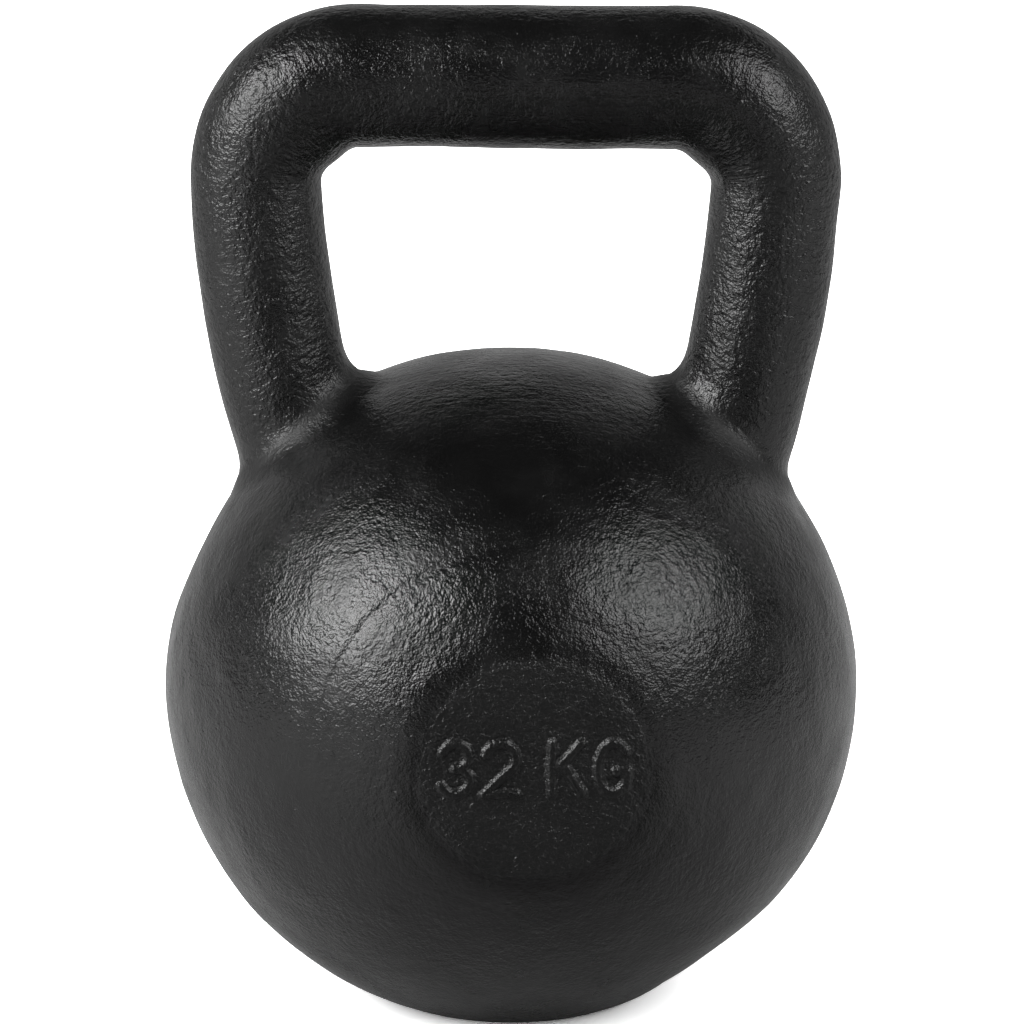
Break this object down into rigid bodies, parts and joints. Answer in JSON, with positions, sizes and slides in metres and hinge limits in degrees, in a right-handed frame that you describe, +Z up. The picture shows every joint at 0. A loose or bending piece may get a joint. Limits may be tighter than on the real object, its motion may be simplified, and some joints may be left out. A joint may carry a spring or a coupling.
{
  "type": "kettlebell",
  "caption": "Cast-iron kettlebell with a one-piece ball and handle, flat round pads front and back, a ground foot, and a plugged trim cavity in the foot.",
  "frame": {"origin": "centre of the flat ground foot, on the surface that the kettlebell stands on", "axes": "+Z up through the ball to the grip bar, X along the grip bar, -Y towards the marked front pad"},
  "size_m": [0.201, 0.1944, 0.289],
  "materials": {
    "black_enamel_on_iron": "gloss",
    "steel_shot": "satin",
    "retainer_steel": "satin",
    "copper_washer": "satin",
    "plug_steel": "satin"
  },
  "bodies": {
    "root": {"casting": "black_enamel_on_iron", "trim_shot": "steel_shot", "shot_retainer": "retainer_steel", "plug_washer": "copper_washer", "cavity_plug": "plug_steel"}
  },
  "joints": []
}
